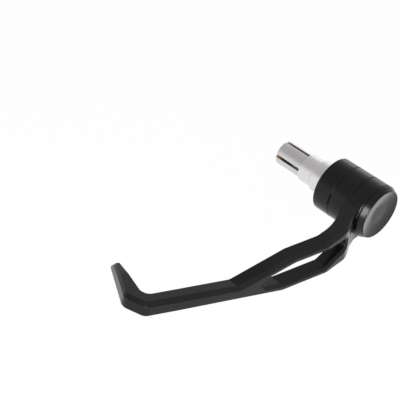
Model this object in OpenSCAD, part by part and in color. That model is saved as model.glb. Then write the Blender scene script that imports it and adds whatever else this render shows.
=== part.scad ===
// Brake lever guard for the end of a motorbike handlebar.
// The bar axis is X and the origin is where the inner spacer meets the end of
// the bar. +X points away from the bike, the hook points along -Y and +Z is up.
// A slotted sleeve and a cone nut clamp the guard inside the bar. One bolt pulls
// the nut in through two spacers and the eye of the arm.

/* [Rings] */
// Diameter of the spacers, the eye of the arm and the end cap
ring_d = 30; // [28:0.5:32]
// Width of the spacer that meets the bar
inner_spacer_w = 10.1; // [8:0.1:14]
// Width of the spacer that meets the arm
outer_spacer_w = 10.3; // [8:0.1:14]
// Chamfer on the rims of the rings
ring_chamfer = 0.45; // [0.2:0.05:0.8]

/* [Eye] */
// Width of the eye
eye_w = 8.5; // [7.5:0.1:11]
// Thickness left below the washer
eye_floor = 2.4; // [1.5:0.1:3]
// Diameter of the recess for the bolt head and the cap's plug
recess_d = 16; // [15:0.5:20]

/* [Arm in plan] */
// How far the arm's outer face stands out from the eye's outer face
joggle = 5.4; // [3:0.1:7]
// Distance from the bar axis at which the outer face has moved out
joggle_end = 29.5; // [26:0.5:32]
// Thickness of the straight arm
arm_t = 7.7; // [7:0.1:8]
// Distance from the bar axis to the end of the hollow behind the neck
relief_end = 36; // [34:0.5:38]
// Distance from the bar axis at which the arm turns inward
bend_at = 41.3; // [39:0.5:44]
// How far the arm leans inward, in degrees
arm_angle = 15.6; // [13:0.1:17]
// How much thinner the arm is at the hook than at its window
blade_taper = 0.7; // [0:0.1:1.2]

/* [Arm from the side] */
// Height of the arm's top above the bar axis
arm_top = 9.1; // [8:0.1:10]
// Depth of the arm's underside below the bar axis
arm_bottom = 12; // [11:0.1:12.5]
// Distance from the bar axis at which the top starts to fall
fall_at = 59.5; // [56:0.5:62]
// Slope of the falling top, in degrees
fall_angle = 13.3; // [11:0.1:14]
// Distance from the bar axis to the lowest place of the top
dip_at = 88.2; // [86:0.2:92]
// Slope of the rising blade, in degrees
rise_angle = 15.6; // [13:0.1:17]
// Height of the blade across its slope
blade_h = 7.7; // [7:0.1:8.5]

/* [Hook] */
// Distance from the bar axis to the first corner of the hook, before it is rounded
corner_at = 133.6; // [130:0.2:138]
// Radius of the first corner
corner_r = 4; // [2:0.5:5]
// Length of the flat between the two corners
corner_flat = 11.8; // [10.5:0.1:14]
// Angle between that flat and the bar, in degrees
corner_angle = 20.3; // [15:0.1:24]
// Radius of the second corner
knuckle_r = 6; // [3:0.5:7]
// Angle between the hook's front and the bar, in degrees
hook_angle = 28.5; // [26:0.1:31]
// Length of the hook's front
hook_l = 28.5; // [26:0.5:30]
// Distance from the first corner back to the corner inside the hook, along Y
crook_back = 3.1; // [1.5:0.1:4]
// Radius of the corner inside the hook
crook_r = 4.5; // [3.5:0.5:6]
// Angle between the hook's back and the bar, in degrees
hook_back_angle = 15; // [14:0.5:17]
// Thickness of the tip
tip_t = 1.6; // [0.8:0.1:2.4]
// Length over which the top falls a little towards the tip
tip_slope_l = 10; // [7:0.5:14]
// How far it falls there
tip_slope_h = 1; // [0.4:0.1:1.6]
// Length of the steep cut that ends the tip
tip_cut_l = 4.5; // [3:0.5:6]
// Height of that cut
tip_cut_h = 4.6; // [3:0.1:5]
// Chamfer between the top and the front of the hook, across the top
hook_chamfer = 1.1; // [0.6:0.1:1.6]

/* [Window] */
// Thickness of the arm above the window
top_strand = 5.3; // [4.6:0.1:5.8]
// Thickness of the arm below the window
bottom_strand = 4.25; // [3.6:0.05:5]
// Distance from the bar axis to the rear of the window
window_rear = 26.5; // [25:0.5:29]
// Distance from the bar axis to the nose of the window
window_front = 76.4; // [74:0.2:79]
// How far the ceiling drops between the bend and the rear
ceiling_taper = 1.4; // [0.6:0.1:2]
// How far the floor rises between the bend and the rear
floor_taper = 3.85; // [2.5:0.05:4]

/* [Edges] */
// Chamfer between the top and the outer side, across the top
top_chamfer = 2.1; // [1:0.1:2.5]
// The same chamfer, down the side
side_chamfer = 2; // [1:0.1:2.6]
// Chamfer along the inner edges
inner_chamfer = 0.3; // [0.2:0.05:0.8]
// Chamfer along the underside's outer edge
under_chamfer = 1; // [0.4:0.1:1.6]
// Chamfer round the window on the outside
window_chamfer = 1.4; // [0.8:0.1:1.8]
// Chamfer round the window on the inside
window_inner_chamfer = 0.25; // [0.15:0.05:0.8]

/* [Sleeve] */
// Largest diameter, for bars with an 18 mm bore
sleeve_large_d = 17.8; // [17.2:0.1:18.4]
// Middle diameter, for bars with a 16 mm bore
sleeve_mid_d = 15.4; // [15:0.1:16]
// Diameter of the slotted fingers, for bars with a 14 mm bore
sleeve_small_d = 13.6; // [13:0.1:14]
// Length of the largest diameter
sleeve_large_l = 8.3; // [7:0.1:12]
// Length of the middle diameter with its cone
sleeve_mid_l = 8.95; // [7:0.05:12]
// Length of the slotted fingers
sleeve_small_l = 17.2; // [15:0.1:24]
// Width of the slots
slot_w = 1.8; // [1.2:0.1:2.4]
// Number of slots
slot_n = 4; // [3:1:6]
// Angle of the first slot from straight behind, in degrees
slot_turn = 75; // [0:5:90]
// Diameter of the spigot that sits in the inner spacer
spigot_d = 14; // [12:0.5:16]
// Length of the spigot
spigot_l = 3; // [2:0.5:4]

/* [Bolt and nut] */
// Diameter of the bolt
bolt_d = 6; // [5:0.5:6.5]
// Diameter of the bolt's head
head_d = 10; // [9:0.5:11]
// Height of the bolt's head
head_h = 4; // [3.5:0.1:4.5]
// Width across the flats of the key socket
socket_w = 4; // [3:0.5:5]
// Diameter of the washer
washer_d = 12.4; // [12:0.2:14]
// Thickness of the washer
washer_t = 1; // [0.6:0.1:1.2]
// Wide diameter of the cone nut
nut_wide_d = 10.7; // [10.2:0.1:11.2]
// Narrow diameter of the cone nut
nut_narrow_d = 8.4; // [8:0.1:9]
// Length of the cone nut
nut_l = 9; // [7:0.5:12]
// How far the nut stands out of the sleeve
nut_proud = 0.45; // [0.2:0.05:1]
// How far the bolt ends inside the nut
bolt_recess = 1.2; // [0.5:0.1:2]

/* [End cap] */
// Width of the cap's straight edge
cap_band = 0.9; // [0.6:0.1:1.5]
// Width of the bevel beyond it, along the bar axis
cap_bevel_l = 2.6; // [1.5:0.1:3]
// The same bevel, across the bar axis
cap_bevel_w = 1.3; // [0.6:0.1:1.8]
// Radius of the rim
cap_rim_r = 0.4; // [0.2:0.1:0.6]
// Depth of the dish
dish_depth = 1.2; // [0.3:0.1:1.6]
// Diameter of the flat in the middle of the dish
dish_flat_d = 11; // [8:0.5:14]
// Length of the plug
plug_l = 3; // [2.4:0.1:3.4]
// Thickness of the plug's wall
plug_wall = 1.3; // [1.2:0.1:1.5]
// Section of the seal ring
seal_t = 1; // [0.8:0.1:1.2]

/* [Clearances] */
// Gap round the bolt where it passes through
bolt_gap = 0.25; // [0.1:0.05:0.4]
// Gap between the cone nut and its seat
cone_gap = 0.05; // [0.02:0.01:0.1]
// Gap round the spigot and the plug
seat_gap = 0.1; // [0.05:0.01:0.2]

/* [Hidden] */
$fn = 96;

ring_r = ring_d / 2;
bolt_hole_r = bolt_d / 2 + bolt_gap;
eye_in_x = inner_spacer_w + outer_spacer_w;
eye_out_x = eye_in_x + eye_w;
washer_x = eye_in_x + eye_floor;
head_x = washer_x + washer_t;
sleeve_tip_x = -(sleeve_large_l + sleeve_mid_l + sleeve_small_l);
nut_end_x = sleeve_tip_x - nut_proud;
plug_r = recess_d / 2 - seat_gap;

// Places along the arm that follow from the sizes above
joggle_start = ring_r - 1.5;
relief_start = ring_r + 4;
arm_w = arm_t / cos(arm_angle);
arm_out_x = eye_out_x + joggle;
arm_in_x = arm_out_x - arm_w;
neck_inset = 0.7;
root_y = -0.8 * sqrt(ring_r * ring_r - arm_bottom * arm_bottom);
dip_z = arm_top - (dip_at - fall_at) * tan(fall_angle);
blade_under = blade_h / cos(rise_angle);
under_bend_at = dip_at - (arm_bottom + dip_z - blade_under) / tan(rise_angle);
relief_drop = arm_in_x - eye_in_x;
relief_l = relief_end - relief_start;
relief_r = (relief_drop * relief_drop + relief_l * relief_l) / (2 * relief_drop);

down = [0, 0, -1];
tilted_down = [0, -sin(rise_angle), -cos(rise_angle)];

// Steps of the curved stretches
turn_steps = 5;
tip_steps = 3;
arc_steps = 4;
edge_steps = 3;

function mix(a, b, t) = a + (b - a) * t;
function clamp01(t) = min(1, max(0, t));
function ease(t) = let (u = clamp01(t)) u * u * (3 - 2 * u);
function flat(list) = [for (part = list) for (item = part) item];
function bezier(a, b, c, t) = mix(mix(a, b, t), mix(b, c, t), t);
function towards(heading) = [cos(heading), sin(heading)];
function right_of(heading) = [sin(heading), -cos(heading)];

// Plan of the arm: where its outer and inner sides are at a given y
function lean(y) = max(0, -y - bend_at) * tan(arm_angle);
function taper(y) = blade_taper * max(0, -y - dip_at) / (corner_at - dip_at);

function outer_x(y) = -y < bend_at
    ? mix(eye_out_x - neck_inset, arm_out_x,
        ease((-y - joggle_start) / (joggle_end - joggle_start)))
    : arm_out_x - lean(y) - taper(y);

function inner_x(y) = -y < relief_start ? eye_in_x
    : -y < relief_end
    ? arm_in_x - relief_r + sqrt(pow(relief_r, 2) - pow(relief_end + y, 2))
    : arm_in_x - lean(y);

// Side view of the arm: the height of its top and its underside
function blade_z(y) = dip_z + (-y - dip_at) * tan(rise_angle);

function top_z(y) = -y < fall_at ? arm_top
    : -y < dip_at ? arm_top - (-y - fall_at) * tan(fall_angle)
    : blade_z(y);

function under_z(y) = max(blade_z(y) - blade_under, -arm_bottom);

// A section is a rectangle that hangs from two points on the top, one outside and
// one inside. Its corners are cut off, and less so where the section is thin.
function section(out, in, hang, h, across, side, under) =
    let (width = norm(in - out), w = (in - out) / width,
         a = min(across, width / 3), s = min(side, h / 3),
         u = min(under, width / 4, h / 4), i = min(inner_chamfer, width / 6, h / 6))
    [out + w * a, out + hang * s,
     out + hang * (h - u), out + hang * h + w * u,
     in + hang * h - w * i, in + hang * (h - i),
     in + hang * i, in - w * i];

function upright(y) =
    let (share = mix(0.4, 1, ease((-y - relief_start) / relief_l)))
    section([outer_x(y), y, top_z(y)], [inner_x(y), y, top_z(y)],
        down, top_z(y) - under_z(y),
        share * top_chamfer, share * side_chamfer, share * under_chamfer);

// The blade and the hook are cut square to their own slope
function on_blade(p) = [p[0], p[1], blade_z(p[1])];

function tilted(out, in, fall, across, under) =
    section(on_blade(out) + tilted_down * fall, on_blade(in) + tilted_down * fall,
        tilted_down, blade_h - fall, across, side_chamfer, under);

// Points of a right-hand turn round a corner, from one heading to another
function turn_points(corner, from, to, r, steps) =
    let (turn = from - to,
         start = corner - r * tan(turn / 2) * towards(from),
         centre = start + r * right_of(from))
    [for (k = [0 : steps])
        centre - r * right_of(from - turn * k / steps)];

// Outside, the hook turns at two corners with a flat between them. Inside, it
// turns round one crook.
blade_lean = tan(arm_angle) + blade_taper / (corner_at - dip_at);
arm_heading = 270 - atan(blade_lean);
flat_heading = 180 + corner_angle;
front_heading = 180 - hook_angle;
back_heading = 180 - hook_back_angle;
corner = [outer_x(-corner_at), -corner_at];
knuckle = corner + corner_flat * towards(flat_heading);
tip_out = knuckle + hook_l * towards(front_heading);
tip_in = tip_out + tip_t * right_of(front_heading);
crook_at = corner_at - crook_back;
crook = [inner_x(-crook_at), -crook_at];

outer_turn = concat(
    turn_points(corner, arm_heading, flat_heading, corner_r, turn_steps),
    turn_points(knuckle, flat_heading, front_heading, knuckle_r, turn_steps));
turn_last = 2 * turn_steps + 1;
inner_turn = turn_points(crook, 270 - arm_angle, back_heading, crook_r, turn_last);

// Chamfer along the underside of the hook
hook_under_chamfer = 0.3;

function turn_section(k) =
    let (share = k / turn_last)
    tilted(outer_turn[k], inner_turn[k], 0, mix(top_chamfer, hook_chamfer, share),
        mix(under_chamfer, hook_under_chamfer, share));

// Along the hook, places are counted back from the tip
front_start = outer_turn[turn_last];
front_l = norm(tip_out - front_start);
back_start = inner_turn[turn_last];
back_control = back_start + front_l / 2 * towards(back_heading);
slope_from = tip_cut_l + tip_slope_l;

function tip_fall(s) = s > tip_cut_l
    ? tip_slope_h * clamp01((slope_from - s) / tip_slope_l)
    : tip_slope_h + tip_cut_h * (1 - s / tip_cut_l);

function hook_section(s) =
    let (t = 1 - s / front_l)
    tilted(mix(front_start, tip_out, t), bezier(back_start, back_control, tip_in, t),
        tip_fall(s), hook_chamfer, hook_under_chamfer);

function between(a, b) = [for (k = [1 : tip_steps]) mix(a, b, k / tip_steps)];
hook_places = concat(between(front_l, slope_from), between(slope_from, tip_cut_l),
    between(tip_cut_l, 0));

// The tip is closed by a smaller copy of its last section
function sum_of(points, k, i = 0) =
    i < len(points) ? points[i][k] + sum_of(points, k, i + 1) : 0;
function middle(points) = [for (k = [0 : 2]) sum_of(points, k) / len(points)];
function nose_section(size, ahead) =
    let (last = hook_section(0), m = middle(last),
         step = ahead * [cos(front_heading), sin(front_heading), 0])
    [for (p = last) m + step + size * (p - m)];

// Where the upright sections stand
bend_half = 0.8;
neck_steps = 14;
neck_places = [for (k = [0 : neck_steps]) mix(relief_start, relief_end, k / neck_steps)];
upright_places = concat([-root_y, ring_r - 1], neck_places,
    [bend_at - bend_half, bend_at + bend_half,
     fall_at - 2 * bend_half, fall_at, fall_at + 2 * bend_half, under_bend_at,
     dip_at - 2 * bend_half, dip_at - bend_half / 2, dip_at + bend_half]);

straight_end = crook_at - 3 * crook_r;
arm_sections = concat(
    [for (d = upright_places) upright(-d)],
    [tilted([outer_x(-straight_end), -straight_end],
        [inner_x(-straight_end), -straight_end], 0, top_chamfer, under_chamfer)],
    [for (k = [0 : turn_last]) turn_section(k)],
    [for (s = hook_places) hook_section(s)],
    [nose_section(0.6, 0.3)]);

// A solid through a row of loops that all have the same number of points
module loft(loops) {
    n = len(loops[0]);
    last = len(loops) - 1;
    sides = [for (j = [0 : last - 1]) for (k = [0 : n - 1])
        let (a = j * n + k, b = j * n + (k + 1) % n)
        [[a, b, b + n], [a, b + n, a + n]]];
    ends = [[for (k = [n - 1 : -1 : 0]) k], [for (k = [0 : n - 1]) last * n + k]];
    polyhedron(flat(loops), concat(flat(sides), ends));
}

// The window seen from the side, as corners [y, z, radius] in one turn
ceiling = arm_top - top_strand;
floor_z = -arm_bottom + bottom_strand;
nose_back = 4.5;
nose_z = -2.4;
window_corners = [
    [-window_rear, floor_z + floor_taper, 2.5],
    [-window_rear, ceiling - ceiling_taper, 2.5],
    [-bend_at, ceiling, 6],
    [-fall_at, ceiling, 8],
    [-window_front + nose_back, top_z(-window_front + nose_back) - top_strand, 3],
    [-window_front, nose_z, 1.2],
    [-window_front + 1.6, under_z(-window_front + 1.6) + bottom_strand, 1.2],
    [-under_bend_at, floor_z, 6],
    [-bend_at, floor_z, 6]];

function unit(v) = v / norm(v);

// The arc at one corner of an outline that is grown by an even amount
function corner_arc(corners, i, grow) =
    let (n = len(corners), c = corners[i],
         p = [c[0], c[1]],
         before = corners[(i + n - 1) % n],
         after = corners[(i + 1) % n],
         u = unit([before[0], before[1]] - p),
         v = unit([after[0], after[1]] - p),
         half = acos(u * v) / 2,
         centre = p + unit(u + v) * c[2] / sin(half),
         a0 = atan2(u[0], -u[1]),
         a1 = atan2(-v[0], v[1]),
         sweep = 180 - 2 * half)
    [for (k = [0 : arc_steps])
        let (a = a0 + sweep * k / arc_steps)
        centre + (c[2] + grow) * [cos(a), sin(a)]];

// The whole outline, with some points on its straight stretches too
function outline(corners, grow) =
    let (n = len(corners), arcs = [for (i = [0 : n - 1]) corner_arc(corners, i, grow)])
    flat([for (i = [0 : n - 1])
        concat(arcs[i], [for (m = [1 : edge_steps - 1])
            mix(arcs[i][arc_steps], arcs[(i + 1) % n][0], m / edge_steps)])]);

// What is cut out for the window, chamfers included
module window_cut() {
    past = 0.3;
    reach = 5;
    plain = outline(window_corners, 0);
    wide_out = outline(window_corners, window_chamfer + past);
    wide_in = outline(window_corners, window_inner_chamfer + past);
    far_in = inner_x(-window_front) - reach;
    far_out = arm_out_x + reach;
    loft([
        [for (p = wide_out) [far_out, p[0], p[1]]],
        [for (p = wide_out) [outer_x(p[0]) + past, p[0], p[1]]],
        [for (p = plain) [outer_x(p[0]) - window_chamfer, p[0], p[1]]],
        [for (p = plain) [inner_x(p[0]) + window_inner_chamfer, p[0], p[1]]],
        [for (p = wide_in) [inner_x(p[0]) - past, p[0], p[1]]],
        [for (p = wide_in) [far_in, p[0], p[1]]]]);
}

// Turns a shape that stands on Z so that it lies along the bar axis
module along_bar(x) {
    translate([x, 0, 0]) rotate([0, 90, 0]) children();
}

// A disc with chamfered rims, standing on Z
module rim_disc(w, r, c) {
    rotate_extrude()
        polygon([[0, 0], [r - c, 0], [r, c], [r, w - c], [r - c, w], [0, w]]);
}

// The fillet between the top of the arm and the eye
module root_fillet() {
    r = 3;
    sink = 0.05;
    cz = arm_top + r - sink;
    cy = -sqrt(pow(ring_r + r, 2) - pow(cz, 2));
    touch = ring_r / (ring_r + r);
    difference() {
        along_bar(eye_in_x)
            linear_extrude(eye_w - neck_inset)
                polygon([[-(cz - r - 1), cy], [-cz, cy], [-cz * touch, cy * touch],
                    [-(cz - r - 1) * touch, cy * touch * touch]]);
        along_bar(eye_in_x - 1)
            translate([-cz, cy, 0]) cylinder(r = r, h = eye_w + 2);
    }
}

module guard_arm() {
    color("#1b1b1d")
    difference() {
        union() {
            loft(arm_sections);
            along_bar(eye_in_x) rim_disc(eye_w, ring_r, ring_chamfer);
            root_fillet();
        }
        along_bar(eye_in_x - 1) cylinder(r = bolt_hole_r, h = eye_w + 2);
        along_bar(washer_x) cylinder(d = recess_d, h = eye_w);
        window_cut();
    }
}

module outer_spacer() {
    color("#202022")
    difference() {
        along_bar(inner_spacer_w) rim_disc(outer_spacer_w, ring_r, ring_chamfer);
        along_bar(inner_spacer_w - 1) cylinder(r = bolt_hole_r, h = outer_spacer_w + 2);
    }
}

module inner_spacer() {
    color("#202022")
    difference() {
        along_bar(0) rim_disc(inner_spacer_w, ring_r, ring_chamfer);
        along_bar(-1) cylinder(r = bolt_hole_r, h = inner_spacer_w + 2);
        along_bar(-1) cylinder(r = spigot_d / 2 + seat_gap, h = spigot_l + 1);
    }
}

// Radius of the cone nut at a given place on the bar axis
function nut_r(x) = mix(nut_wide_d, nut_narrow_d, (x - nut_end_x) / nut_l) / 2;

module expander_sleeve() {
    step_l = 1.2;
    edge = 0.5;
    finger_x = sleeve_tip_x + sleeve_small_l;
    finger_bore_r = nut_narrow_d / 2 + cone_gap;
    cone_l = nut_l - nut_proud;
    color("#d2d3d4")
    difference() {
        along_bar(sleeve_tip_x)
            rotate_extrude()
                polygon([[0, 0],
                    [sleeve_small_d / 2 - edge, 0],
                    [sleeve_small_d / 2, edge],
                    [sleeve_small_d / 2, sleeve_small_l],
                    [sleeve_mid_d / 2, sleeve_small_l],
                    [sleeve_mid_d / 2, -sleeve_tip_x - sleeve_large_l - step_l],
                    [sleeve_large_d / 2, -sleeve_tip_x - sleeve_large_l],
                    [sleeve_large_d / 2, -sleeve_tip_x],
                    [spigot_d / 2, -sleeve_tip_x],
                    [spigot_d / 2, -sleeve_tip_x + spigot_l],
                    [0, -sleeve_tip_x + spigot_l]]);
        along_bar(sleeve_tip_x - 1)
            cylinder(r = bolt_hole_r, h = spigot_l - sleeve_tip_x + 2);
        along_bar(sleeve_tip_x - 1) cylinder(r = finger_bore_r, h = sleeve_small_l + 1);
        along_bar(sleeve_tip_x)
            cylinder(r1 = nut_r(sleeve_tip_x) + cone_gap, r2 = finger_bore_r, h = cone_l);
        for (k = [0 : slot_n - 1])
            rotate([slot_turn + k * 360 / slot_n, 0, 0])
                translate([sleeve_tip_x - 1, 0, -slot_w / 2])
                    cube([sleeve_small_l + 1, sleeve_mid_d, slot_w]);
    }
}

module cone_nut() {
    color("#b9955a")
    difference() {
        along_bar(nut_end_x) cylinder(d1 = nut_wide_d, d2 = nut_narrow_d, h = nut_l);
        along_bar(nut_end_x - 1) cylinder(r = bolt_d / 2 + cone_gap, h = nut_l + 2);
    }
}

module centre_bolt() {
    bolt_end_x = nut_end_x + bolt_recess;
    socket_l = 0.55 * head_h;
    edge = 0.4;
    color("#a9abad")
    difference() {
        union() {
            along_bar(bolt_end_x)
                rotate_extrude()
                    polygon([[0, 0], [bolt_d / 2 - edge, 0], [bolt_d / 2, edge],
                        [bolt_d / 2, head_x - bolt_end_x + 1],
                        [0, head_x - bolt_end_x + 1]]);
            along_bar(head_x) rotate_extrude()
                polygon([[0, 0], [head_d / 2, 0], [head_d / 2, head_h - edge],
                    [head_d / 2 - edge, head_h], [0, head_h]]);
        }
        along_bar(head_x + head_h - socket_l)
            cylinder(r = socket_w / sqrt(3), h = socket_l + 1, $fn = 6);
    }
}

module bolt_washer() {
    color("#b4b6b8")
    difference() {
        along_bar(washer_x) cylinder(d = washer_d, h = washer_t);
        along_bar(washer_x - 1) cylinder(r = bolt_hole_r, h = washer_t + 2);
    }
}

// The seal ring sits in a groove half way along the plug
seal_x = eye_out_x - plug_l / 2;
seal_mid_r = recess_d / 2 - seat_gap / 2 - seal_t / 2;

// Depth of the dish at a place between its flat (0) and its rim (1). It is part
// cone and part bowl, so that the edge of the flat shows.
function dish_rise(q) = dish_depth * mix(q * q, q, 0.4);

module end_cap() {
    rim_steps = 4;
    dish_steps = 7;
    groove_w = seal_t + 0.2;
    rim_r = ring_r - cap_bevel_w - cap_rim_r;
    rim_x = cap_band + cap_bevel_l;
    flat_r = dish_flat_d / 2;
    flat_x = rim_x + cap_rim_r - dish_depth;
    color("#242427")
    difference() {
        along_bar(eye_out_x)
            rotate_extrude()
                polygon(concat(
                    [[0, -plug_l], [plug_r, -plug_l], [plug_r, 0],
                     [ring_r - ring_chamfer, 0], [ring_r, ring_chamfer],
                     [ring_r, cap_band]],
                    [for (k = [0 : rim_steps])
                        let (a = 90 * k / rim_steps)
                        [rim_r + cap_rim_r * cos(a), rim_x + cap_rim_r * sin(a)]],
                    [for (k = [1 : dish_steps])
                        let (q = 1 - k / dish_steps)
                        [mix(flat_r, rim_r, q), flat_x + dish_rise(q)]],
                    [[0, flat_x]]));
        along_bar(eye_out_x - plug_l - 1)
            cylinder(r = plug_r - plug_wall - seal_t / 2, h = plug_l + 1);
        along_bar(seal_x - groove_w / 2) difference() {
            cylinder(r = plug_r + 1, h = groove_w);
            translate([0, 0, -1])
                cylinder(r = seal_mid_r - seal_t / 2 - seat_gap / 2, h = groove_w + 2);
        }
    }
}

module cap_seal() {
    color("#151515")
    along_bar(seal_x)
        rotate_extrude() translate([seal_mid_r, 0]) circle(d = seal_t, $fn = 32);
}

guard_arm();
outer_spacer();
inner_spacer();
expander_sleeve();
cone_nut();
centre_bolt();
bolt_washer();
end_cap();
cap_seal();
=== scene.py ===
# %% [markdown]
# # A brake lever guard in black and silver
#
# The guard hangs on the end of a handlebar. A silver sleeve goes inside the bar, two
# black rings and the eye of a black arm are held against it by one bolt, and a
# dished cap closes the end. The CAD model already holds every one of these pieces at
# its real size, so this lesson is about finish: softened edges, anodised and turned
# metal, a soft studio, and a camera at the photograph's angle. Lengths are in
# metres, as they are in the CAD frame, and MM turns millimetres into them.

# %% The frame
import math

import bmesh
import bpy
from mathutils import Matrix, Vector


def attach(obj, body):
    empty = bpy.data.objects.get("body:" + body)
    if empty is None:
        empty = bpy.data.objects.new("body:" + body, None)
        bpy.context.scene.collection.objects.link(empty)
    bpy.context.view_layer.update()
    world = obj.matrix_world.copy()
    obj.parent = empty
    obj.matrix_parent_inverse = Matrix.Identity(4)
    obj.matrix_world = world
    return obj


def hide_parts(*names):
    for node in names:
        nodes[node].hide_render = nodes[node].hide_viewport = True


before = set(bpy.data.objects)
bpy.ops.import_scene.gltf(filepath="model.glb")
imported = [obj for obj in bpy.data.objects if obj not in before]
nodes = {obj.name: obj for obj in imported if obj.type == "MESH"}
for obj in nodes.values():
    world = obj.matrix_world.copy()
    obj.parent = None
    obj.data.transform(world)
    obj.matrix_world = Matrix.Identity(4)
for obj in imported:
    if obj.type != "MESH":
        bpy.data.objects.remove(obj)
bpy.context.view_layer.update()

MM = 0.001
print("pieces from the CAD:", ", ".join(sorted(nodes)))

# %% [markdown]
# A finish is easier to tune when its nodes are made by a few small helpers. The
# first starts a material with its shader, the next two add a node and join it up,
# and the last turns one range of numbers into another. All but the first work on
# anything that has a node tree, so the dome of the studio uses them too. Constant
# numbers are typed straight into the shader's own sockets, because an exporter reads
# them there and drops what arrives through a chain of maths.

# %% Helpers for nodes
def new_finish(name, **inputs):
    """A material with one Principled shader whose sockets hold these numbers."""
    finish = bpy.data.materials.new(name)
    finish.use_nodes = True
    shader = finish.node_tree.nodes["Principled BSDF"]
    for socket, value in inputs.items():
        shader.inputs[socket.replace("_", " ")].default_value = value
    return finish, shader


def add_node(owner, kind, **settings):
    """A new node with some of its settings changed."""
    node = owner.node_tree.nodes.new(kind)
    for key, value in settings.items():
        setattr(node, key, value)
    return node


def join(owner, source, target):
    owner.node_tree.links.new(source, target)


def ranged(owner, value, low, high, at_low, at_high):
    """A number that goes from at_low to at_high as value goes from low to high.

    Each of its two ends is a plain number or the socket of another node.
    """
    ramp = add_node(owner, "ShaderNodeMapRange")
    ramp.inputs["From Min"].default_value = low
    ramp.inputs["From Max"].default_value = high
    for socket, end in (("To Min", at_low), ("To Max", at_high)):
        if isinstance(end, bpy.types.NodeSocket):
            join(owner, end, ramp.inputs[socket])
        else:
            ramp.inputs[socket].default_value = end
    join(owner, value, ramp.inputs["Value"])
    return ramp.outputs["Result"]

# %% [markdown]
# Real metal is never one flat grey. Its colour and its gloss wander a little, and a
# noise texture gives that when it reads Object coordinates, which stay fixed to the
# piece. A noise stays mostly between 0.3 and 0.7, so that is the range that gets
# spread over the two colours or the two amounts of gloss.

# %% Helpers for patterns
NOISE_LOW = 0.3
NOISE_HIGH = 0.7


def object_place(finish):
    """Object coordinates, through a Mapping node."""
    place = add_node(finish, "ShaderNodeTexCoord")
    mapping = add_node(finish, "ShaderNodeMapping")
    join(finish, place.outputs["Object"], mapping.inputs["Vector"])
    return mapping.outputs["Vector"]


def noise(finish, place, scale, detail, roughness=0.5):
    texture = add_node(finish, "ShaderNodeTexNoise")
    texture.inputs["Scale"].default_value = scale
    texture.inputs["Detail"].default_value = detail
    texture.inputs["Roughness"].default_value = roughness
    join(finish, place, texture.inputs["Vector"])
    return texture.outputs["Fac"]


def spread(finish, value, low, high):
    """Spreads a noise over a range of gloss."""
    return ranged(finish, value, NOISE_LOW, NOISE_HIGH, low, high)


def tint(finish, value, dark, light):
    """Mixes two colours by a noise."""
    ramp = add_node(finish, "ShaderNodeValToRGB")
    stops = zip(ramp.color_ramp.elements, (NOISE_LOW, NOISE_HIGH), (dark, light))
    for stop, position, colour in stops:
        stop.position = position
        stop.color = (*colour, 1)
    join(finish, value, ramp.inputs["Fac"])
    return ramp.outputs["Color"]


def bump(finish, height, shader, strength, distance):
    node = add_node(finish, "ShaderNodeBump")
    node.inputs["Strength"].default_value = strength
    node.inputs["Distance"].default_value = distance
    join(finish, height, node.inputs["Height"])
    join(finish, node.outputs["Normal"], shader.inputs["Normal"])

# %% [markdown]
# The arm is aluminium with a black anodised skin. Anodising keeps the fine grain of
# the blasted metal below it, so the skin is a very dark grey with a satin gloss. Two
# noises do that: a fine one for the grain, and a broad one for a gloss that wanders.
# The rubber seal of the cap is grained in the same way, only greyer and much duller.

# %% Black anodised aluminium, and rubber
SKIN_IOR = 1.34
CLOUD_SCALE = 45.0
GRAIN_SCALE = 2600.0
GRAIN_DEPTH = 0.01 * MM


def grained_skin(name, dark, light, smooth, rough):
    finish, shader = new_finish(name, Metallic=0.0, IOR=SKIN_IOR)
    place = object_place(finish)
    clouds = noise(finish, place, CLOUD_SCALE, detail=2.0)
    grain = noise(finish, place, GRAIN_SCALE, detail=2.0, roughness=0.6)
    join(finish, tint(finish, clouds, dark, light), shader.inputs["Base Color"])
    join(finish, spread(finish, clouds, smooth, rough), shader.inputs["Roughness"])
    bump(finish, grain, shader, strength=0.12, distance=GRAIN_DEPTH)
    return finish


arm_finish = grained_skin("arm_black_finish", smooth=0.2, rough=0.26,
                          dark=(0.0025, 0.0025, 0.003), light=(0.0045, 0.0045, 0.005))
seal_finish = grained_skin("seal_rubber_finish", smooth=0.5, rough=0.65,
                           dark=(0.012, 0.012, 0.012), light=(0.02, 0.02, 0.02))
print("grained:", arm_finish.name, "and", seal_finish.name)

# %% [markdown]
# Turned pieces carry the marks of the lathe. On a cylinder they run round the
# bar axis, and on a flat end they are circles about it. Both come from one idea:
# a noise that changes only with the distance along the axis and with the distance
# from it, and never with the angle round it.

# %% Lathe marks
MARK_SCALE = 1800.0


def lathe_marks(finish):
    """A noise of the place along X and of the distance from X."""
    place = add_node(finish, "ShaderNodeTexCoord")
    parts = add_node(finish, "ShaderNodeSeparateXYZ")
    join(finish, place.outputs["Object"], parts.inputs["Vector"])
    across = add_node(finish, "ShaderNodeCombineXYZ")
    join(finish, parts.outputs["Y"], across.inputs["X"])
    join(finish, parts.outputs["Z"], across.inputs["Y"])
    radius = add_node(finish, "ShaderNodeVectorMath", operation="LENGTH")
    join(finish, across.outputs["Vector"], radius.inputs[0])
    turned = add_node(finish, "ShaderNodeCombineXYZ")
    join(finish, parts.outputs["X"], turned.inputs["X"])
    join(finish, radius.outputs["Value"], turned.inputs["Y"])
    return noise(finish, turned.outputs["Vector"], MARK_SCALE, detail=3.0, roughness=0.6)

# %% [markdown]
# The marks drive the gloss and a very shallow bump, and broad clouds drive the
# colour. The rings and the cap are turned and then anodised black, so they aren't
# metallic here. The sleeve is bare aluminium, the cone nut brass, and the bolt steel.

# %% Turned metal
TURNED_CLOUD_SCALE = 60.0


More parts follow.
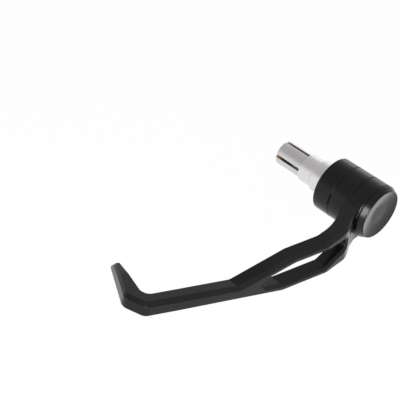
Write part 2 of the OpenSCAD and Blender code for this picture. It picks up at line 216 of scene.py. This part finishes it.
def turned_metal(name, metallic, smooth, rough, mark_depth, dark, light):
    finish, shader = new_finish(name, Metallic=metallic, IOR=SKIN_IOR)
    marks = lathe_marks(finish)
    clouds = noise(finish, object_place(finish), TURNED_CLOUD_SCALE, detail=2.0)
    join(finish, tint(finish, clouds, dark, light), shader.inputs["Base Color"])
    join(finish, spread(finish, marks, smooth, rough), shader.inputs["Roughness"])
    bump(finish, marks, shader, strength=0.25, distance=mark_depth)
    print("turned:", name)
    return finish


ring_finish = turned_metal("ring_black_finish", metallic=0.0, smooth=0.13, rough=0.17,
                           mark_depth=0.001 * MM, dark=(0.002, 0.002, 0.0025),
                           light=(0.004, 0.004, 0.0045))
cap_finish = turned_metal("cap_black_finish", metallic=0.0, smooth=0.17, rough=0.2,
                          mark_depth=0.001 * MM, dark=(0.003, 0.003, 0.0035),
                          light=(0.005, 0.005, 0.0055))
sleeve_finish = turned_metal("sleeve_silver_finish", metallic=1.0, smooth=0.32, rough=0.36,
                             mark_depth=0.0002 * MM, dark=(0.71, 0.71, 0.71),
                             light=(0.75, 0.75, 0.75))
nut_finish = turned_metal("nut_brass_finish", metallic=1.0, smooth=0.3, rough=0.4,
                          mark_depth=0.001 * MM, dark=(0.42, 0.27, 0.11),
                          light=(0.50, 0.34, 0.15))
bolt_finish = turned_metal("bolt_steel_finish", metallic=1.0, smooth=0.25, rough=0.38,
                           mark_depth=0.01 * MM, dark=(0.50, 0.50, 0.51),
                           light=(0.60, 0.60, 0.61))

# %% [markdown]
# Two colours change along the bar, and both are painted shade. Only the end of the brass
# nut keeps its full colour: further in, seen through the slots of the sleeve, it is
# painted dark, as the shade that falls inside the sleeve. And the sleeve's fingers are
# painted a little darker than its two larger steps. Both are one range over the X
# coordinate that multiplies the colour.

# %% Painted shade along the bar
# Where the painted shade starts and ends, and how much of the colour it leaves.
NUT_BRIGHT_END = -33.4 * MM
NUT_SHADE_START = -31.0 * MM
NUT_SHADE_SHARE = 0.12
FINGER_END = -17.4 * MM
STEP_START = -17.0 * MM
FINGER_SHADE_SHARE = 0.88


def shade_along_bar(finish, from_x, to_x, share_before, share_after):
    """Paints shade along the bar: multiplies a finish's colour by one share before a place
    and another past it.
    """
    shader = finish.node_tree.nodes["Principled BSDF"]
    colour = shader.inputs["Base Color"].links[0].from_socket
    parts = add_node(finish, "ShaderNodeSeparateXYZ")
    join(finish, object_place(finish), parts.inputs["Vector"])
    fade = ranged(finish, parts.outputs["X"], from_x, to_x, share_before, share_after)
    product = add_node(finish, "ShaderNodeMixRGB", blend_type="MULTIPLY")
    product.inputs["Fac"].default_value = 1.0
    join(finish, colour, product.inputs["Color1"])
    join(finish, fade, product.inputs["Color2"])
    join(finish, product.outputs["Color"], shader.inputs["Base Color"])
    print(f"{finish.name}: {share_before} of its colour, then {share_after}")


# Painted shade: the brass nut is darkened where it lies inside the sleeve.
shade_along_bar(nut_finish, NUT_BRIGHT_END, NUT_SHADE_START, 1.0, NUT_SHADE_SHARE)
# Painted shade: the sleeve's fingers are painted a little darker than its larger steps.
shade_along_bar(sleeve_finish, FINGER_END, STEP_START, FINGER_SHADE_SHARE, 1.0)

# %% [markdown]
# Most nodes of the CAD model are shown as they are, so each gets the finish of its
# real piece. The arm and the cap get theirs further on, on their softened copies.

# %% Finishes on the CAD pieces
FINISH_OF = {
    "outer_spacer": ring_finish,
    "inner_spacer": ring_finish,
    "expander_sleeve": sleeve_finish,
    "cone_nut": nut_finish,
    "centre_bolt": bolt_finish,
    "bolt_washer": bolt_finish,
    "cap_seal": seal_finish,
}
for name, finish in FINISH_OF.items():
    nodes[name].data.materials.clear()
    nodes[name].data.materials.append(finish)
    print(name, "has", finish.name)

# %% [markdown]
# The CAD mesh is loose triangles, which a bevel can't follow. So the arm and the cap
# are shown by copies. A copy's corners are merged, the triangles of each flat face
# are joined up again, and it is shaded smooth except over its sharp edges.

# %% Helpers for merged copies
MERGE_DISTANCE = 0.01 * MM
FLAT_ANGLE = math.radians(0.03)
EDGE_ANGLE = math.radians(26)
FLAT_FACE_WEIGHT = 90


def merged_copy(node_name):
    """The mesh of a CAD node as a bmesh, with its corners and flat faces joined."""
    form = bmesh.new()
    form.from_mesh(nodes[node_name].data)
    bmesh.ops.remove_doubles(form, verts=form.verts, dist=MERGE_DISTANCE)
    bmesh.ops.dissolve_limit(form, angle_limit=FLAT_ANGLE, verts=form.verts,
                             edges=form.edges)
    return form


def piece_from(form, name, finish):
    """A finished piece at the origin, shaded smooth between its sharp edges."""
    mesh = bpy.data.meshes.new(name)
    form.to_mesh(mesh)
    form.free()
    mesh.materials.append(finish)
    for face in mesh.polygons:
        face.use_smooth = True
    mesh.set_sharp_from_angle(angle=EDGE_ANGLE)
    piece = bpy.data.objects.new(name, mesh)
    bpy.context.scene.collection.objects.link(piece)
    print(name, "has", len(mesh.polygons), "faces")
    return piece


def weigh_normals(piece):
    """Large faces keep their own direction, and small ones blend into them."""
    flat_faces = piece.modifiers.new("flat_faces", "WEIGHTED_NORMAL")
    flat_faces.mode = "FACE_AREA"
    flat_faces.weight = FLAT_FACE_WEIGHT
    flat_faces.keep_sharp = True

# %% [markdown]
# A machined edge is never perfectly sharp: tumbling and anodising leave it with a
# radius of a fraction of a millimetre, and that radius is what catches the light
# as a fine bright line. So the true edges of the arm get a small bevel. The eye and
# the start of the neck are left out, because the mesh has tiny edges there that
# would break it.

# %% The arm with softened edges
EDGE_WIDTH = 0.13 * MM
ROOT_REACH = 16.0 * MM


def sharp_edges(form, angle, beyond):
    """The sharp edges that lie further along the arm than a given y."""
    return [e for e in form.edges
            if len(e.link_faces) == 2 and e.calc_face_angle(0) > angle
            and max(corner.co.y for corner in e.verts) < beyond]


arm_form = merged_copy("guard_arm")
arm_edges = sharp_edges(arm_form, EDGE_ANGLE, -ROOT_REACH)
print("edges to soften:", len(arm_edges))
bmesh.ops.bevel(arm_form, geom=arm_edges, offset=EDGE_WIDTH, offset_type="OFFSET",
                segments=2, profile=0.5, affect="EDGES", material=-1,
                clamp_overlap=False)
bmesh.ops.recalc_face_normals(arm_form, faces=arm_form.faces)
arm = piece_from(arm_form, "arm_anodised", arm_finish)
weigh_normals(arm)
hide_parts("guard_arm")
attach(arm, "root")

# %% [markdown]
# The cap's dish has a flat middle. Its rim turns by only four degrees, and yet the
# reflections show it as a crisp ring, which plain smooth shading would wash out. So
# the cap is a merged copy too, without a bevel: its large flat faces keep their own
# direction when the normals are worked out. The edges at its lip turn by as little
# as 16 degrees, so the angle that counts as sharp is smaller here than on the arm.

# %% The cap with a crisp dish
LIP_ANGLE = math.radians(8)

cap = piece_from(merged_copy("end_cap"), "cap_anodised", cap_finish)
cap.data.set_sharp_from_angle(angle=LIP_ANGLE)
weigh_normals(cap)
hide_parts("end_cap")
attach(cap, "root")

# %% [markdown]
# The floor is plain and pale, a sweep of white paper. The guard is held up by the
# bar, and so it hangs a little way above the floor.

# %% The floor
FLOOR_Z = -0.075
FLOOR_HALF = 3.0
PAPER = (0.95, 0.95, 0.95, 1)

floor_form = bmesh.new()
bmesh.ops.create_grid(floor_form, x_segments=1, y_segments=1, size=FLOOR_HALF)
bmesh.ops.translate(floor_form, verts=floor_form.verts, vec=(0, 0, FLOOR_Z))
floor_finish, floor_shader = new_finish("floor_paper", Base_Color=PAPER, Roughness=0.9)
floor = piece_from(floor_form, "floor", floor_finish)

# %% [markdown]
# Seen by the camera, and in reflections, most of the floor's colour is its own, so
# that it reads as white without more light on the guard. The rest is ordinary paint
# that still takes the guard's soft shadow. A mix of two shaders does that, and the
# kind of ray decides between them.

# %% The white of the paper
OWN_LIGHT = 0.94


def larger(owner, first, second):
    """The larger of two numbers."""
    node = add_node(owner, "ShaderNodeMath", operation="MAXIMUM")
    join(owner, first, node.inputs[0])
    join(owner, second, node.inputs[1])
    return node.outputs["Value"]


def seen_directly(owner):
    """1 for rays from the camera and for reflected and transmitted rays."""
    rays = add_node(owner, "ShaderNodeLightPath").outputs
    seen = larger(owner, rays["Is Camera Ray"], rays["Is Glossy Ray"])
    return larger(owner, seen, rays["Is Transmission Ray"])


paper_white = add_node(floor_finish, "ShaderNodeEmission")
paper_white.inputs["Strength"].default_value = 1.0
white_share = ranged(floor_finish, seen_directly(floor_finish), 0.0, 1.0, 0.0, OWN_LIGHT)
floor_mix = add_node(floor_finish, "ShaderNodeMixShader")
join(floor_finish, white_share, floor_mix.inputs["Fac"])
join(floor_finish, floor_shader.outputs["BSDF"], floor_mix.inputs[1])
join(floor_finish, paper_white.outputs["Emission"], floor_mix.inputs[2])
floor_out = floor_finish.node_tree.nodes["Material Output"]
join(floor_finish, floor_mix.outputs["Shader"], floor_out.inputs["Surface"])
print("the paper's own white:", OWN_LIGHT)

# %% [markdown]
# The room is a pale dome: white at the horizon, where it meets the sweep of paper,
# and greyer overhead, most of all at the front, with a hint of warmth. Black metal
# is mostly a mirror, so this fall in brightness is what draws the tops of the arm
# and the rings as dark bands beside paler sides.

# %% The dome
HORIZON = 1.0
OVERHEAD_FRONT = 0.49
OVERHEAD_REAR = 0.65
OVERHEAD_TINT = (1.0, 0.935, 0.945, 1)
FRONT_Y, REAR_Y = -0.6, 0.8
FALL_START, FALL_END = 0.3, 0.65

dome = bpy.data.worlds.new("studio_dome")
bpy.context.scene.world = dome
dome.use_nodes = True
dome.node_tree.nodes.clear()

direction = add_node(dome, "ShaderNodeTexCoord")
toward_sky = add_node(dome, "ShaderNodeSeparateXYZ")
join(dome, direction.outputs["Generated"], toward_sky.inputs["Vector"])
back, up = toward_sky.outputs["Y"], toward_sky.outputs["Z"]
overhead = ranged(dome, back, FRONT_Y, REAR_Y, OVERHEAD_FRONT, OVERHEAD_REAR)
glow = ranged(dome, up, FALL_START, FALL_END, HORIZON, overhead)
warmth = add_node(dome, "ShaderNodeMixRGB")
warmth.inputs["Color1"].default_value = (1, 1, 1, 1)
warmth.inputs["Color2"].default_value = OVERHEAD_TINT
join(dome, ranged(dome, up, FALL_START, FALL_END, 0.0, 1.0), warmth.inputs["Fac"])
room_light = add_node(dome, "ShaderNodeBackground")
join(dome, warmth.outputs["Color"], room_light.inputs["Color"])
join(dome, glow, room_light.inputs["Strength"])
dome_out = add_node(dome, "ShaderNodeOutputWorld")
join(dome, room_light.outputs["Background"], dome_out.inputs["Surface"])
print("dome:", HORIZON, "at the horizon,", OVERHEAD_FRONT, "to", OVERHEAD_REAR, "above")

# %% [markdown]
# Soft lamps add what the dome can't. One stands at the front right and shows as a
# pale patch on the cap's bevel, and a wider and weaker one round it gives that patch
# soft ends. A third, low at the rear left, brightens the far sides of the rings.
# The last is a small panel on the floor, which the dished cap mirrors as a crescent.

# %% Lamps
PART_MIDDLE = (0.032, -0.01, 0)
FRONT_PLACE = (0.375, -0.45, 0.21)
REAR_PLACE = (-0.35, 0.6, 0.06)
PANEL_PLACE = (0.05, 0.061, FLOOR_Z + 0.002)
ABOVE_PANEL = (0.05, 0.061, 1)
FRONT_TINT = (1.0, 0.94, 0.99)


def soft_lamp(name, place, aim, size, watts, colour=(1, 1, 1)):
    """A rectangular area lamp that looks at a point."""
    data = bpy.data.lights.new(name, "AREA")
    data.shape = "RECTANGLE"
    data.size, data.size_y = size
    data.energy = watts
    data.color = colour
    lamp = bpy.data.objects.new(name, data)
    lamp.location = place
    beam = Vector(aim) - Vector(place)
    lamp.rotation_euler = beam.to_track_quat("-Z", "Y").to_euler()
    bpy.context.scene.collection.objects.link(lamp)
    print(f"{name}: {watts} W, {beam.length:.2f} m from its aim")


soft_lamp("front_lamp", FRONT_PLACE, PART_MIDDLE, size=(0.32, 0.32), watts=3.9,
          colour=FRONT_TINT)
soft_lamp("front_glow", FRONT_PLACE, PART_MIDDLE, size=(0.4, 0.48), watts=1.4,
          colour=FRONT_TINT)
soft_lamp("rear_lamp", REAR_PLACE, PART_MIDDLE, size=(0.5, 0.14), watts=0.15)
soft_lamp("floor_panel", PANEL_PLACE, ABOVE_PANEL, size=(0.03, 0.05), watts=0.0032)

# %% [markdown]
# The camera looks down at the guard from the front right, along a line that is
# 46.9 degrees round from straight ahead and 43.1 degrees above the horizon. It
# aims at a point beside the arm, which puts the guard at the picture's lower right.

# %% The camera
AZIMUTH = 46.93
ELEVATION = 43.1
DISTANCE = 0.5124
AIM = Vector((-0.0378, -0.0593, 0))
LENS = 89.5
SENSOR = 36.0
NEAR_CLIP = 0.01

camera_data = bpy.data.cameras.new("camera")
camera_data.sensor_width = SENSOR
camera_data.lens = LENS
camera_data.clip_start = NEAR_CLIP
camera = bpy.data.objects.new("camera", camera_data)
turn, lift = math.radians(AZIMUTH), math.radians(ELEVATION)
toward = Vector((math.sin(turn) * math.cos(lift), -math.cos(turn) * math.cos(lift),
                 math.sin(lift)))
camera.location = AIM + toward * DISTANCE
camera.rotation_euler = (math.pi / 2 - lift, 0, turn)
bpy.context.scene.collection.objects.link(camera)
bpy.context.scene.camera = camera
bpy.context.scene.view_settings.view_transform = "Standard"
print("camera at", [round(place, 3) for place in camera.location], "with a lens of", LENS)
